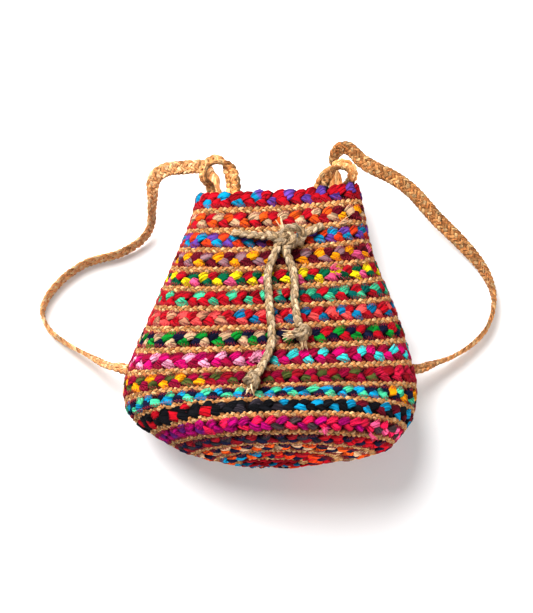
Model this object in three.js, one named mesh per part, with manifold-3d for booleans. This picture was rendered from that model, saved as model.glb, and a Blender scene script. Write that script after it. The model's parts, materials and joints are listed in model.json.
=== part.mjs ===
// A drawstring backpack of rag and jute braids, lying on its back. Millimetres, +Z up.
// The base faces -Y, the mouth faces +Y, and the floor is Z = 0.
import * as THREE from 'three';
import { mergeVertices } from 'three/addons/utils/BufferGeometryUtils.js';
import Module from 'manifold-3d';

const wasm = await Module();
wasm.setup();

// Driving sizes.
const TURNS = 16; // turns of the double spiral from the base core to the rim
const CORE_EDGE = 0.34; // outer edge of the base core, in turns
const JUTE_SHARE = 0.32; // share of one turn that the jute braid takes
const RAG_HALF = 4.4; // half the thickness of the rag braid
const JUTE_HALF = 2.9; // half the thickness of the jute braid
const SEAM_GAP = 0.3; // clearance between pieces that are sewn together
const ROLL = 0.1; // sideways lean of the front of the bag for each millimetre of height
const ROLL_HEIGHT = 40; // height that keeps its place as the bag leans
const PRESSED_FLAT = 1.1; // how much of the back lies flat on the floor
const STRAP_WIDTH = 16;
const STRAP_THICK = 6;
const CORD_WIDTH = 9.4; // diameter of the drawstring rope
const FOOTPRINT_MIDDLE = { x: -3, y: 40 }; // middle of the whole outline on the floor
const RING_STEPS = 25; // facets around one turn

// Sections of the lying bag, one row for each fold of its wall: places of the middle of the wall.
// turn counts from the base centre; middle is the middle of the width, as the bag lies askew;
// front is the upper panel, back lies on the floor; box squares the corners, sag hollows the front.
const SECTION_COLUMNS = ['turn', 'halfWidth', 'middle', 'sideY', 'sideZ', 'frontY', 'frontZ', 'backY', 'backZ',
  'box', 'sag'];
const SECTIONS = [
  [0, 22, -4, -141, 38, -141, 38, -141, 38, 2, 0],
  [1, 47, 2, -140, 39, -140, 62, -138, 17, 2, 0],
  [2, 77, 9, -137, 42, -139, 86, -122, 5, 2, 0],
  [3, 101.5, 10.5, -131, 46, -139, 110, -102, 4.2, 2.1, 0],
  [4, 117.5, 6.5, -120, 49, -132, 129, -80, 4.2, 2.2, 0],
  [5, 134, 1, -106, 49, -113, 122, -58, 4.2, 2.3, 0],
  [6, 144, -2.5, -88, 47, -95, 110, -36, 4.2, 2.5, 0],
  [7, 145.5, -2.5, -58, 45, -76, 101, -14, 4.2, 2.9, 0],
  [10, 124, 2, 20, 41, -5, 90, 48, 4.2, 3.2, 2],
  [13, 101, 3, 89, 38, 65, 79, 106, 4.2, 3.2, 5],
  [15, 90.5, 7, 133, 35, 115, 70, 144, 4.2, 3, 8],
  [17, 82.5, 8.5, 184, 32, 170, 60, 188, 4.2, 2.8, 12],
].map((row) => Object.fromEntries(row.map((value, index) => [SECTION_COLUMNS[index], value])));

// Value of one column of a table at a turn, on a smooth curve through its rows.
function columnAt(table, column, turn) {
  let row = 0;
  while (row < table.length - 2 && turn > table[row + 1].turn) row += 1;
  const slopeAt = (index) => {
    const before = table[Math.max(index - 1, 0)];
    const after = table[Math.min(index + 1, table.length - 1)];
    return (after[column] - before[column]) / (after.turn - before.turn);
  };
  const [start, end] = [table[row], table[row + 1]];
  const span = end.turn - start.turn;
  const t = (turn - start.turn) / span;
  const ease = t * t * (3 - 2 * t);
  const leave = t * (1 - t) * (1 - t) * span * slopeAt(row);
  const arrive = t * t * (t - 1) * span * slopeAt(row + 1);
  return start[column] + (end[column] - start[column]) * ease + leave + arrive;
}

const rounded = (value, power) => Math.sign(value) * Math.abs(value) ** power;

// Place across the bag, from -1 at its left side to 1 at its right side.
// around runs from 0 at the middle of the back, over the left side, the front and the right side, to 1.
function acrossAt(around, turn) {
  const angle = 2 * Math.PI * around;
  return rounded(-Math.sin(angle), 2 / columnAt(SECTIONS, 'box', turn));
}

// Point on the middle of the wall.
function wallPoint(around, turn) {
  const column = (name) => columnAt(SECTIONS, name, turn);
  const across = acrossAt(around, turn);
  const upright = -Math.cos(2 * Math.PI * around);
  const face = upright > 0 ? 'front' : 'back';
  const flattened = face === 'back' ? PRESSED_FLAT : 1;
  const share = Math.min(1, flattened * rounded(Math.abs(upright), 2 / column('box')));
  const y = column('sideY') + (column(`${face}Y`) - column('sideY')) * share;
  const rise = upright > 0 ? column('sag') * across * across * share : 0;
  const z = column('sideZ') + (column(`${face}Z`) - column('sideZ')) * share + rise;
  const x = column('middle') + column('halfWidth') * across + ROLL * (z - ROLL_HEIGHT);
  return new THREE.Vector3(x, y, z);
}

// Direction straight out of the wall.
function wallNormal(around, turn) {
  const [aroundStep, turnStep] = [0.004, 0.05];
  const along = wallPoint(around + aroundStep, turn).sub(wallPoint(around - aroundStep, turn));
  const towardsRim = wallPoint(around, turn + turnStep).sub(wallPoint(around, turn - turnStep));
  return along.cross(towardsRim).normalize();
}

// Point at a height above the middle of the wall; what would lie below the floor is pressed flat on it.
function offWall(around, turn, height) {
  const point = wallPoint(around, turn).addScaledVector(wallNormal(around, turn), height);
  point.z = Math.max(point.z, 0);
  return point;
}

// Place around the bag of a point on the front panel, at a distance across from the middle of the base.
function aroundOnFront(across, turn) {
  const fromMiddle = across - columnAt(SECTIONS, 'middle', turn);
  const share = THREE.MathUtils.clamp(fromMiddle / columnAt(SECTIONS, 'halfWidth', turn), -1, 1);
  const sine = rounded(share, columnAt(SECTIONS, 'box', turn) / 2);
  return 0.5 + Math.asin(sine) / (2 * Math.PI);
}

const onFront = ({ across, turn }, height) => offWall(aroundOnFront(across, turn), turn, height);

// How far the spiral has climbed at a place around, from 0 to 1 turn.
// On the base it climbs only underneath; over the next turns, up the wall, the climb becomes steady.
function climbAt(around, turn) {
  const underneath = 0.2;
  const [lastBaseTurn, changingTurns] = [4, 3];
  const ease = (t) => t * t * (3 - 2 * t);
  let stepped = 0.5;
  if (around < underneath) stepped = 0.5 * ease(around / underneath);
  if (around > 1 - underneath) stepped = 1 - 0.5 * ease((1 - around) / underneath);
  const across = acrossAt(around, Math.max(turn, 1));
  let steady = 0.5 + 0.25 * across;
  if (around < 0.25) steady = -0.25 * across;
  if (around > 0.75) steady = 1 - 0.25 * across;
  const wallShare = THREE.MathUtils.clamp((turn - lastBaseTurn) / changingTurns, 0, 1);
  return THREE.MathUtils.lerp(stepped, steady, wallShare);
}

// Inner edge of a numbered turn of the spiral; the edge after the last turn is the rim.
function turnEdge(number, around) {
  if (number === 1) return CORE_EDGE;
  const edge = CORE_EDGE + number - 1 + climbAt(around, number) - 0.5;
  const tailStart = 0.8;
  const tailDrop = 0.5;
  const isRim = number === TURNS + 1;
  return isRim ? edge - tailDrop * Math.max(0, (around - tailStart) / (1 - tailStart)) : edge;
}

// Closed mesh through a row of rings with the same number of points, with flat ends.
// The last side folds along the other diagonal, so that it stays parallel to the side that it is sewn to.
function loft(rings) {
  const sides = rings[0].length;
  const positions = rings.flat().flatMap((point) => point.toArray());
  const faces = [];
  for (let ring = 0; ring < rings.length - 1; ring += 1) {
    for (let side = 0; side < sides; side += 1) {
      const next = (side + 1) % sides;
      const [a, b] = [ring * sides + side, ring * sides + next];
      const [c, d] = [a + sides, b + sides];
      if (next > 0) faces.push(a, b, d, a, d, c);
      else faces.push(a, b, c, b, d, c);
    }
  }
  const last = (rings.length - 1) * sides;
  for (let side = 1; side < sides - 1; side += 1) {
    faces.push(0, side + 1, side, last, last + side, last + side + 1);
  }
  const geometry = new THREE.BufferGeometry();
  geometry.setAttribute('position', new THREE.Float32BufferAttribute(positions, 3));
  geometry.setIndex(faces);
  if (signedVolume(geometry) < 0) geometry.index.array.reverse();
  return geometry;
}

function signedVolume(geometry) {
  const position = geometry.getAttribute('position');
  const corner = (index) => new THREE.Vector3().fromBufferAttribute(position, geometry.index.getX(index));
  let volume = 0;
  for (let index = 0; index < geometry.index.count; index += 3) {
    volume += corner(index).dot(corner(index + 1).cross(corner(index + 2))) / 6;
  }
  return volume;
}

// Profiles of the two braids: share of the width, and height above the middle of the wall.
const RAG_PROFILE = [
  { share: 0, height: JUTE_HALF },
  { share: 0.28, height: RAG_HALF },
  { share: 0.72, height: RAG_HALF },
  { share: 1, height: JUTE_HALF },
  { share: 1, height: -JUTE_HALF },
  { share: 0, height: -JUTE_HALF },
];
const JUTE_PROFILE = [
  { share: 0, height: JUTE_HALF },
  { share: 1, height: JUTE_HALF },
  { share: 1, height: -JUTE_HALF },
  { share: 0, height: -JUTE_HALF },
];
const PITCH = 24; // width of a rag braid and a jute braid together

// One turn of a braid between two edges of the spiral.
function braidTurn(number, fromShare, toShare, profile) {
  const power = columnAt(SECTIONS, 'box', number) / 2;
  const seamAcross = SEAM_GAP / columnAt(SECTIONS, 'halfWidth', number);
  const seamShare = Math.asin(seamAcross ** power) / (2 * Math.PI);
  const inset = SEAM_GAP / 2 / PITCH;
  const rings = [];
  for (let step = 0; step <= RING_STEPS; step += 1) {
    const around = THREE.MathUtils.lerp(seamShare, 1 - seamShare, step / RING_STEPS);
    const [inner, outer] = [turnEdge(number, around), turnEdge(number + 1, around)];
    const from = THREE.MathUtils.lerp(inner, outer, fromShare) + inset;
    const to = THREE.MathUtils.lerp(inner, outer, toShare) - inset;
    rings.push(profile.map(({ share, height }) =>
      offWall(around, THREE.MathUtils.lerp(from, to, share), height)));
  }
  return loft(rings);
}

// The oval plate in the middle of the base, lofted from its left end to its right end.
function baseCore() {
  const stations = 8;
  const edge = CORE_EDGE - SEAM_GAP / 2 / PITCH;
  const endMargin = 0.035;
  const [leftEnd, rightEnd] = [0.25 + endMargin, 0.75 - endMargin];
  const rings = [];
  for (let step = 0; step <= stations; step += 1) {
    const upper = THREE.MathUtils.lerp(leftEnd, rightEnd, step / stations);
    const lower = upper > 0.5 ? 1.5 - upper : 0.5 - upper;
    rings.push([
      offWall(upper, edge, JUTE_HALF),
      offWall(upper, 0, RAG_HALF),
      offWall(lower, edge, JUTE_HALF),
      offWall(lower, edge, -JUTE_HALF),
      offWall(upper, edge, -JUTE_HALF),
    ]);
  }
  return loft(rings);
}

// Flat braid along a route; each point of the route has a place and the direction of the braid's width.
function flatBraid(route, steps) {
  const places = new THREE.CatmullRomCurve3(route.map(({ place }) => place));
  const widths = new THREE.CatmullRomCurve3(route.map(({ width }) => width));
  const [half, thick] = [STRAP_WIDTH / 2, STRAP_THICK / 2];
  const shoulder = 0.8 * half; // where the rounding of the edge starts
  const outline = [[-half, 0], [-shoulder, thick], [shoulder, thick], [half, 0], [shoulder, -thick],
    [-shoulder, -thick]];
  const rings = [];
  for (let step = 0; step <= steps; step += 1) {
    const t = step / steps;
    const tangent = places.getTangent(t);
    const width = widths.getPoint(t);
    width.addScaledVector(tangent, -width.dot(tangent)).normalize();
    const flat = new THREE.Vector3().crossVectors(tangent, width);
    const centre = places.getPoint(t);
    rings.push(outline.map(([across, up]) =>
      centre.clone().addScaledVector(width, across).addScaledVector(flat, up)));
  }
  return loft(rings);
}

// Shoulder straps: from the inside of the back, out of the mouth, along the floor, to the side of the bag.
// lean turns the flat braid from lying flat, 0, to standing on one edge or the other, 90 or -90 degrees.
const STRAP_ROOTS = [15, 15.8]; // turns where a strap lies on the inside of the back
const STRAP_LANDING = 7.15; // turn where a strap is sewn to the side of the bag
const LANDING_HEIGHTS = [16, JUTE_HALF + SEAM_GAP + 0.7]; // above the middle of the wall, coming in and sewn on
const INSIDE_SEAT = -(JUTE_HALF + STRAP_THICK / 2 + 1.4); // middle of a braid below the middle of the wall
const LEFT_STRAP = {
  rootAround: 0.106,
  rootLean: -13,
  landingAround: 0.23,
  landingLeans: [40, 30],
  route: [
    { x: -65, y: 180, z: 18, lean: 0 },
    { x: -65, y: 190, z: 20, lean: 6 },
    { x: -68, y: 198, z: 24, lean: 10 },
    { x: -75, y: 201, z: 28, lean: 14 },
    { x: -84, y: 200, z: 31, lean: 14 },
    { x: -98.5, y: 197, z: 34, lean: 12 },
    { x: -117, y: 193, z: 36, lean: 14 },
    { x: -129, y: 184, z: 33, lean: 30 },
    { x: -131, y: 160, z: 26, lean: 60 },
    { x: -133, y: 134, z: 16, lean: 75 },
    { x: -141, y: 121, z: 11.5, lean: 84 },
    { x: -165, y: 105, z: 9, lean: 88 },
    { x: -202, y: 93, z: 8.4, lean: 88 },
    { x: -228, y: 73, z: 8.4, lean: 88 },
    { x: -244, y: 49, z: 8.4, lean: 88 },
    { x: -247, y: 34, z: 8.4, lean: 88 },
    { x: -239, y: 15, z: 8.4, lean: 88 },
    { x: -219, y: -2, z: 9, lean: 82 },
    { x: -194, y: -18, z: 16, lean: 66 },
    { x: -173, y: -33, z: 27, lean: 50 },
  ],
};
const RIGHT_STRAP = {
  rootAround: 0.894,
  rootLean: 14,
  landingAround: 0.78,
  landingLeans: [-40, -30],
  route: [
    { x: 71, y: 180, z: 18.5, lean: 2 },
    { x: 71, y: 192, z: 21, lean: -22 },
    { x: 69, y: 205, z: 27, lean: -56 },
    { x: 70, y: 214, z: 32, lean: -56 },
    { x: 77, y: 219.6, z: 37, lean: -54 },
    { x: 85.5, y: 217, z: 41, lean: -52 },
    { x: 91.5, y: 210, z: 43, lean: -48 },
    { x: 98.5, y: 201, z: 44, lean: -38 },
    { x: 107, y: 195, z: 43, lean: -27 },
    { x: 119, y: 189, z: 41, lean: -21 },
    { x: 133, y: 183, z: 38, lean: -20 },
    { x: 153, y: 169, z: 34, lean: -20 },
    { x: 180, y: 141, z: 23, lean: -28 },
    { x: 206, y: 116, z: 15, lean: -42 },
    { x: 228, y: 89, z: 10.5, lean: -66 },
    { x: 239, y: 64, z: 8.6, lean: -84 },
    { x: 240, y: 44, z: 8.4, lean: -88 },
    { x: 232, y: 18, z: 8.4, lean: -88 },
    { x: 215, y: -2, z: 8.8, lean: -84 },
    { x: 192, y: -18, z: 12, lean: -70 },
    { x: 169, y: -29, z: 19, lean: -52 },
  ],
};

// Points of a strap, each with its place and the direction of its width.
function strapRoute({ rootAround, rootLean, landingAround, landingLeans, route }) {
  const root = STRAP_ROOTS.map((turn) => offWall(rootAround, turn, INSIDE_SEAT));
  const landing = LANDING_HEIGHTS.map((height) => offWall(landingAround, STRAP_LANDING, height));
  const places = [...root, ...route.map(({ x, y, z }) => new THREE.Vector3(x, y, z)), ...landing];
  const leans = [...root.map(() => rootLean), ...route.map(({ lean }) => lean), ...landingLeans];
  const curve = new THREE.CatmullRomCurve3(places);
  const up = new THREE.Vector3(0, 0, 1);
  return places.map((place, index) => {
    const tangent = curve.getTangent(index / (places.length - 1));
    const level = new THREE.Vector3().crossVectors(tangent, up).normalize();
    const upright = new THREE.Vector3().crossVectors(level, tangent);
    const lean = THREE.MathUtils.degToRad(leans[index]);
    const width = level.multiplyScalar(Math.cos(lean)).addScaledVector(upright, Math.sin(lean));
    return { place, width };
  });
}

// Top loops: an arch over each strap, sewn flat to the inside of the front panel at both feet.
// crownShare turns the braid's width from lying along the wall, 0, to standing up over the crown, 1.
const TOP_LOOPS = {
  left: {
    outer: 0.3,
    inner: 0.415,
    cornerInset: 0.3,
    side: 1,
    arch: [
      { x: -74, y: 172, z: 60, crownShare: 0.2 },
      { x: -71, y: 184, z: 65, crownShare: 0.6 },
      { x: -60, y: 189, z: 68, crownShare: 1 },
      { x: -48, y: 182, z: 66, crownShare: 0.6 },
      { x: -42, y: 169, z: 61, crownShare: 0.2 },
    ],
  },
  right: {
    outer: 0.686,
    inner: 0.562,
    cornerInset: 1.7,
    side: -1,
    arch: [
      { x: 88, y: 174, z: 60, crownShare: 0.2 },
      { x: 84.5, y: 182, z: 64, crownShare: 0.6 },
      { x: 74, y: 184, z: 66, crownShare: 1 },
      { x: 63, y: 177, z: 64, crownShare: 0.6 },
      { x: 56, y: 167, z: 60, crownShare: 0.2 },
    ],
  },
};
const LOOP_ROOTS = [15.5, 16.6]; // turns that each leg of a loop passes on the inside of the mouth
const LOOP_CROWN_WIDTH = { x: 0.4, y: -0.58, z: 0.67 };

// Points of a loop; outer and inner are the places around of its legs, cornerInset keeps the outer one off the corner.
function loopRoute({ outer, inner, cornerInset, side, arch }) {
  const aroundStep = 0.01;
  const leg = (around, seat) => LOOP_ROOTS.map((turn) => {
    const along = offWall(around + aroundStep, turn, 0).sub(offWall(around - aroundStep, turn, 0));
    return { place: offWall(around, turn, seat), width: along.normalize().multiplyScalar(side) };
  });
  const [outerLeg, innerLeg] = [leg(outer, INSIDE_SEAT - cornerInset), leg(inner, INSIDE_SEAT)];
  const { x, y, z } = LOOP_CROWN_WIDTH;
  const crownWidth = new THREE.Vector3(x * side, y, z);
  const middle = (arch.length - 1) / 2;
  const over = arch.map((point, index) => {
    const nearLeg = index < middle ? outerLeg : innerLeg;
    const width = nearLeg[1].width.clone().lerp(crownWidth, point.crownShare);
    return { place: new THREE.Vector3(point.x, point.y, point.z), width };
  });
  return [...outerLeg, ...over, ...innerLeg.reverse()];
}

// Drawstring rope: through the wall at two holes in the front and round the inside of the back.
const CORD_SIDES = 8;
const DRAWSTRING_STEPS = 40;
const CORD_LIFT = RAG_HALF + CORD_WIDTH / 2 + 0.4; // middle of the rope above the middle of the wall
const CORD_HOLES = {
  left: { across: -44, turn: 14.18, knotTurn: 13.85 },
  right: { across: 50, turn: 14.5, knotTurn: 14 },
};
// The rope of a knot is thinner, as it is pulled tight.
const KNOT = { across: 10.8, turn: 13.7, lift: 13.4, radius: 9.5, ropeWidth: 8 };
const KNOT_REACH = 19; // from the middle of the knot to where the rope meets it
const HOLE_RAMP = 9; // length over which the rope rises out of a hole
const HOLE_SLANT = 1; // sideways lean of the rope in a hole
const HOLE_TURN = 10; // length over which the rope turns along the inside of the wall
const TAIL_LEFT = [
  { across: -1.6, turn: 12.84, extra: 3 },
  { across: -6.5, turn: 12.4, extra: 0 },
  { across: -8.6, turn: 11.8, extra: 0 },
  { across: -7.9, turn: 10.8, extra: 0 },
  { across: -6.4, turn: 9.7, extra: 0 },
  { across: -5.6, turn: 8.86, extra: 0 },
  { across: -7.6, turn: 8.28, extra: 0 },
  { across: -11.7, turn: 7.79, extra: 0 },
  { across: -18.3, turn: 7.13, extra: 0.5 },
];
const TAIL_RIGHT = [
  { across: 12.4, turn: 12.84, extra: 3 },
  { across: 16, turn: 12.4, extra: 0 },
  { across: 18.7, turn: 11.8, extra: 0 },
  { across: 18.5, turn: 10.83, extra: 0 },
  { across: 19.1, turn: 10.2, extra: 0 },
  { across: 20.7, turn: 9.6, extra: 0.5 },
];
const TAIL_STEPS = { left: 16, right: 10 };
const TAIL_KNOTS = {
  left: { across: -26, turn: 6.3, lift: 12.1, radius: 7.5, ropeWidth: 7.3 },
  right: { across: 24.7, turn: 8.93, lift: 12.1, radius: 7.5, ropeWidth: 7.3 },
};

// Round rope along a smooth curve through points.
function rope(points, steps, diameter = CORD_WIDTH) {
  const outline = new THREE.Shape();
  for (let side = 0; side < CORD_SIDES; side += 1) {
    const angle = (2 * Math.PI * side) / CORD_SIDES;
    const [x, y] = [Math.cos(angle) * diameter / 2, Math.sin(angle) * diameter / 2];
    if (side === 0) outline.moveTo(x, y);
    else outline.lineTo(x, y);
  }
  const extrudePath = new THREE.CatmullRomCurve3(points);
  return new THREE.ExtrudeGeometry(outline, { extrudePath, steps, curveSegments: 1 });
}

// The stretch of rope that closes the mouth, from one side of the knot to the other.
function drawstringPoints() {
  const { left, right } = CORD_HOLES;
  const inside = -(RAG_HALF + CORD_WIDTH / 2 + 2 * SEAM_GAP);
  const byKnot = CORD_LIFT + 1;
  const points = [
    onFront({ across: KNOT.across - KNOT_REACH, turn: left.knotTurn }, byKnot),
    onFront({ across: left.across + HOLE_RAMP, turn: (left.turn + left.knotTurn) / 2 }, CORD_LIFT),
    onFront({ across: left.across + HOLE_SLANT, turn: left.turn }, RAG_HALF),
    onFront(left, -RAG_HALF),
  ];
  const start = aroundOnFront(left.across - HOLE_TURN, left.turn);
  const end = aroundOnFront(right.across + HOLE_TURN, right.turn);
  const insideSteps = 14;
  for (let step = 0; step <= insideSteps; step += 1) {
    const around = (start - (step / insideSteps) * (start + 1 - end) + 1) % 1;
    const turn = THREE.MathUtils.lerp(left.turn, right.turn, step / insideSteps);
    points.push(offWall(around, turn, inside));
  }
  points.push(
    onFront(right, -RAG_HALF),
    onFront({ across: right.across - HOLE_SLANT, turn: right.turn }, RAG_HALF),
    onFront({ across: right.across - HOLE_RAMP, turn: (right.turn + right.knotTurn) / 2 }, CORD_LIFT),
    onFront({ across: KNOT.across + KNOT_REACH, turn: right.knotTurn }, byKnot),
  );
  return points;
}

function tailPoints(table) {
  return table.map((row) => onFront(row, CORD_LIFT + row.extra));
}

// Overhand knot, as a rope that crosses itself three times.
function knot(radius, thickness) {
  const [steps, sides, turns, crossings] = [30, 6, 2, 3];
  const geometry = new THREE.TorusKnotGeometry(radius, thickness / 2, steps, sides, turns, crossings);
  return weld(geometry);
}

// Geometry with its shared corners merged, as a solid needs.
function weld(geometry) {
  geometry.deleteAttribute('normal');
  geometry.deleteAttribute('uv');
  return mergeVertices(geometry, 1e-4);
}

function toSolid(geometry) {
  const welded = weld(geometry);
  const vertProperties = new Float32Array(welded.getAttribute('position').array);
  const triVerts = new Uint32Array(welded.index.array);
  return new wasm.Manifold(new wasm.Mesh({ numProp: 3, vertProperties, triVerts }));
}

function fromSolid(solid) {
  const mesh = solid.getMesh();
  const geometry = new THREE.BufferGeometry();
  geometry.setAttribute('position', new THREE.Float32BufferAttribute(mesh.vertProperties, 3));
  geometry.setIndex(new THREE.Uint32BufferAttribute(mesh.triVerts, 1));
  return geometry;
}

// Colours of the pieces.
const JUTE_COLOUR = '#c19a63';
const ROPE_COLOUR = '#bfab8c';
const RAG_COLOURS = ['#b3202e', '#263052', '#d9713a', '#7d1f33', '#b5286f', '#2b2a33', '#2a93c4', '#7a2433',
  '#c8327a', '#24384f', '#cf3a3f', '#c2202f', '#c9a51f', '#8a2a35', '#5b4aa3', '#cf2f31', '#c01f35'];

const backpack = new THREE.Group();
const lying = new THREE.Group();
lying.position.set(-FOOTPRINT_MIDDLE.x, -FOOTPRINT_MIDDLE.y, 0);
backpack.add(lying);

function addPiece(name, geometry, color) {
  const material = new THREE.MeshStandardMaterial({ color, roughness: 0.85, metalness: 0 });
  const mesh = new THREE.Mesh(geometry, material);
  mesh.name = name;
  lying.add(mesh);
  return mesh;
}

const twoDigits = (number) => String(number).padStart(2, '0');
const ropeClearance = 2 * SEAM_GAP;
const ropeHoles = toSolid(rope(drawstringPoints(), DRAWSTRING_STEPS, CORD_WIDTH + ropeClearance));
const HOLED_RAG_TURN = 14;
const HOLED_JUTE_TURN = 15;

function withHoles(geometry) {
  return fromSolid(toSolid(geometry).subtract(ropeHoles));
}

addPiece('base_core', baseCore(), RAG_COLOURS[0]);
for (let number = 1; number <= TURNS; number += 1) {
  const jute = braidTurn(number, 0, JUTE_SHARE, JUTE_PROFILE);
  const rag = braidTurn(number, JUTE_SHARE, 1, RAG_PROFILE);
  const juteShape = number === HOLED_JUTE_TURN ? withHoles(jute) : jute;
  const ragShape = number === HOLED_RAG_TURN ? withHoles(rag) : rag;
  addPiece(`jute_turn_${twoDigits(number)}`, juteShape, JUTE_COLOUR);
  addPiece(`rag_turn_${twoDigits(number)}`, ragShape, RAG_COLOURS[number]);
}

const STRAP_STEPS = 36;
const LOOP_STEPS = 14;
addPiece('shoulder_strap_left', flatBraid(strapRoute(LEFT_STRAP), STRAP_STEPS), JUTE_COLOUR);
addPiece('shoulder_strap_right', flatBraid(strapRoute(RIGHT_STRAP), STRAP_STEPS), JUTE_COLOUR);
addPiece('top_loop_left', flatBraid(loopRoute(TOP_LOOPS.left), LOOP_STEPS), JUTE_COLOUR);
addPiece('top_loop_right', flatBraid(loopRoute(TOP_LOOPS.right), LOOP_STEPS), JUTE_COLOUR);

addPiece('drawstring', rope(drawstringPoints(), DRAWSTRING_STEPS), ROPE_COLOUR);
addPiece('tail_left', rope(tailPoints(TAIL_LEFT), TAIL_STEPS.left), ROPE_COLOUR);
addPiece('tail_right', rope(tailPoints(TAIL_RIGHT), TAIL_STEPS.right), ROPE_COLOUR);

function addKnot(name, { across, turn, lift, radius, ropeWidth }) {
  const piece = addPiece(name, knot(radius, ropeWidth), ROPE_COLOUR);
  piece.position.copy(onFront({ across, turn }, lift));
  piece.quaternion.setFromUnitVectors(
    new THREE.Vector3(0, 0, 1), wallNormal(aroundOnFront(across, turn), turn));
}

addKnot('drawstring_knot', KNOT);
addKnot('tail_knot_left', TAIL_KNOTS.left);
addKnot('tail_knot_right', TAIL_KNOTS.right);

export default backpack;
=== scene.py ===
# %% [markdown]
# # A braided backpack, lying on its back
# The bag is one long coil: a fat plait of cotton rags and a thin plait of jute run side by side in a
# spiral, and a red zigzag thread sews each turn to the next. The solids of the CAD part come in as a fixed
# frame. This script lays the real strands over them, so every plait below follows the same wall as its
# solid does.

# %% Load the solids
import json

import bpy
import numpy as np
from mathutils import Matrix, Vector
from mathutils.bvhtree import BVHTree


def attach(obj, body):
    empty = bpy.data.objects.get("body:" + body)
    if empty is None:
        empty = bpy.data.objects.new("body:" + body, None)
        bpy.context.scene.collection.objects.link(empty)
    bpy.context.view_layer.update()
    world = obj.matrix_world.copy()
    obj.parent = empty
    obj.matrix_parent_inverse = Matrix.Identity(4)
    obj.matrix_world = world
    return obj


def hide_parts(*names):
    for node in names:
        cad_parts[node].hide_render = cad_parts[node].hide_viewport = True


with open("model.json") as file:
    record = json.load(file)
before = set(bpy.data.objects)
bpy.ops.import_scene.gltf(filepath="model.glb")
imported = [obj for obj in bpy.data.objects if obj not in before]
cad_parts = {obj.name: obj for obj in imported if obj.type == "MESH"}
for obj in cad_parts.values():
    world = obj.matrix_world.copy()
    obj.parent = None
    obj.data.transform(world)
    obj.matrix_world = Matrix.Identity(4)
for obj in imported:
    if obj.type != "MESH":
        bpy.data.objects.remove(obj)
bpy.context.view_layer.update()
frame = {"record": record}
bpy.ops.object.select_all(action="DESELECT")

# %% [markdown]
# ## The wall of the bag
# The wall is described by a few sections. Each row gives, for one turn of the spiral, how wide the bag is,
# where its sides, front and back lie, how square the section is (box), and how far the front hangs in
# (sag). A place around the bag runs from 0 at the middle of the back, over the left side, the front and
# the right side, to 1. All is in millimetres in the bag's own layout, until a mesh is made.

# %% Sizes
MILLIMETRE = 0.001
FOOTPRINT_MIDDLE = np.array([-3.0, 40.0, 0.0])
TURNS, BASE_TURNS, LOWER_TURNS = 16, 4, 8
CORE_EDGE = 0.34
JUTE_SHARE = 0.32
RAG_HALF, JUTE_HALF = 4.4, 2.9
SEAM_GAP = 0.3
ROLL, ROLL_HEIGHT = 0.1, 40.0
PRESSED_FLAT = 1.1
STRAP_WIDTH, STRAP_THICK = 16.0, 6.0
ROPE_WIDTH = 9.4
LEFT_SIDE, FRONT, RIGHT_SIDE = 0.25, 0.5, 0.75
UNDERNEATH = 0.2

SECTION_COLUMNS = (
    "turn", "half_width", "middle", "side_y", "side_z",
    "front_y", "front_z", "back_y", "back_z", "box", "sag",
)
SECTION_ROWS = (
    (0, 22, -4, -141, 38, -141, 38, -141, 38, 2, 0),
    (1, 47, 2, -140, 39, -140, 62, -138, 17, 2, 0),
    (2, 77, 9, -137, 42, -139, 86, -122, 5, 2, 0),
    (3, 101.5, 10.5, -131, 46, -139, 110, -102, 4.2, 2.1, 0),
    (4, 117.5, 6.5, -120, 49, -132, 129, -80, 4.2, 2.2, 0),
    (5, 134, 1, -106, 49, -113, 122, -58, 4.2, 2.3, 0),
    (6, 144, -2.5, -88, 47, -95, 110, -36, 4.2, 2.5, 0),
    (7, 145.5, -2.5, -58, 45, -76, 101, -14, 4.2, 2.9, 0),
    (10, 124, 2, 20, 41, -5, 90, 48, 4.2, 3.2, 2),
    (13, 101, 3, 89, 38, 65, 79, 106, 4.2, 3.2, 5),
    (15, 90.5, 7, 133, 35, 115, 70, 144, 4.2, 3, 8),
    (17, 82.5, 8.5, 184, 32, 170, 60, 188, 4.2, 2.8, 12),
)
SECTIONS = dict(zip(SECTION_COLUMNS, np.array(SECTION_ROWS, float).T))


# %% Points on the wall
def smooth_step(t):
    """Rises from 0 to 1 with a soft start and a soft end."""
    return t * t * (3 - 2 * t)


def column(name, turn):
    """One column of the sections at a turn, on a smooth curve through its rows."""
    turn = np.asarray(turn, float)
    marks, values = SECTIONS["turn"], SECTIONS[name]
    before = np.maximum(np.arange(len(marks)) - 1, 0)
    after = np.minimum(np.arange(len(marks)) + 1, len(marks) - 1)
    slopes = (values[after] - values[before]) / (marks[after] - marks[before])
    row = np.searchsorted(marks[1:-1], turn, side="left")
    span = marks[row + 1] - marks[row]
    t = (turn - marks[row]) / span
    leave = t * (1 - t) ** 2 * span * slopes[row]
    arrive = t * t * (t - 1) * span * slopes[row + 1]
    return values[row] + (values[row + 1] - values[row]) * smooth_step(t) + leave + arrive


def rounded(value, power):
    """A power that keeps the sign; below 1 it makes a wave squarer."""
    return np.sign(value) * np.abs(value) ** power


def to_frame(points):
    """Points of the bag's own layout, in metres in the frame."""
    return (points - FOOTPRINT_MIDDLE) * MILLIMETRE


def across_at(around, turn):
    """Place across the bag, from -1 at its left side to 1 at its right side."""
    return rounded(-np.sin(2 * np.pi * around), 2 / column("box", turn))


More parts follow.
